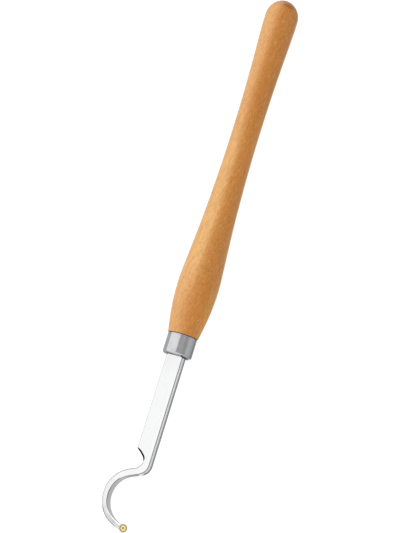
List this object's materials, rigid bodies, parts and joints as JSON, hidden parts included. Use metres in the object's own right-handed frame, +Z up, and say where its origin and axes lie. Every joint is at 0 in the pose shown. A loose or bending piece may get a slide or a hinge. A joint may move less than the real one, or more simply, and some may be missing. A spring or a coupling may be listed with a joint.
{
  "type": "hollowing tool",
  "caption": "Woodturning hollowing tool with a turned wooden handle, a steel ferrule, and a square bar with a swan neck and open hook that holds a small round replaceable cutter.",
  "frame": {"origin": "on the bar's flat underside, on the tool's centre line, halfway along the straight length of bar between ferrule and neck, where the bar lies on a lathe's tool rest", "axes": "+X along the tool towards the cutter, +Y to the side that the hook's mouth opens to, +Z up out of the cutter's top face"},
  "size_m": [0.5495, 0.0469, 0.0405],
  "materials": {
    "beech": "clear satin lacquer over light close-grained hardwood with short dark flecks",
    "ferrule_steel": "turned and polished",
    "bar_steel": "bright, finely ground",
    "carbide": "ground hard metal with a polished cutting edge",
    "gold_screw": "gold-coloured plating"
  },
  "bodies": {
    "tool": {"handle": "beech", "ferrule": "ferrule_steel", "tool_bar": "bar_steel"},
    "cutter": {"cutter_insert": "carbide"},
    "screw": {"insert_screw": "gold_screw"}
  },
  "joints": [
    {"name": "cutter_turn", "type": "hinge", "parent": "tool", "child": "cutter", "pos_m": [0.12085, 0, 0.00795], "axis": [0, 0, 1], "continuous": true},
    {"name": "screw_lift", "type": "slide", "parent": "tool", "child": "screw", "axis": [0, 0, 1], "range_m": [0, 0.008]}
  ]
}
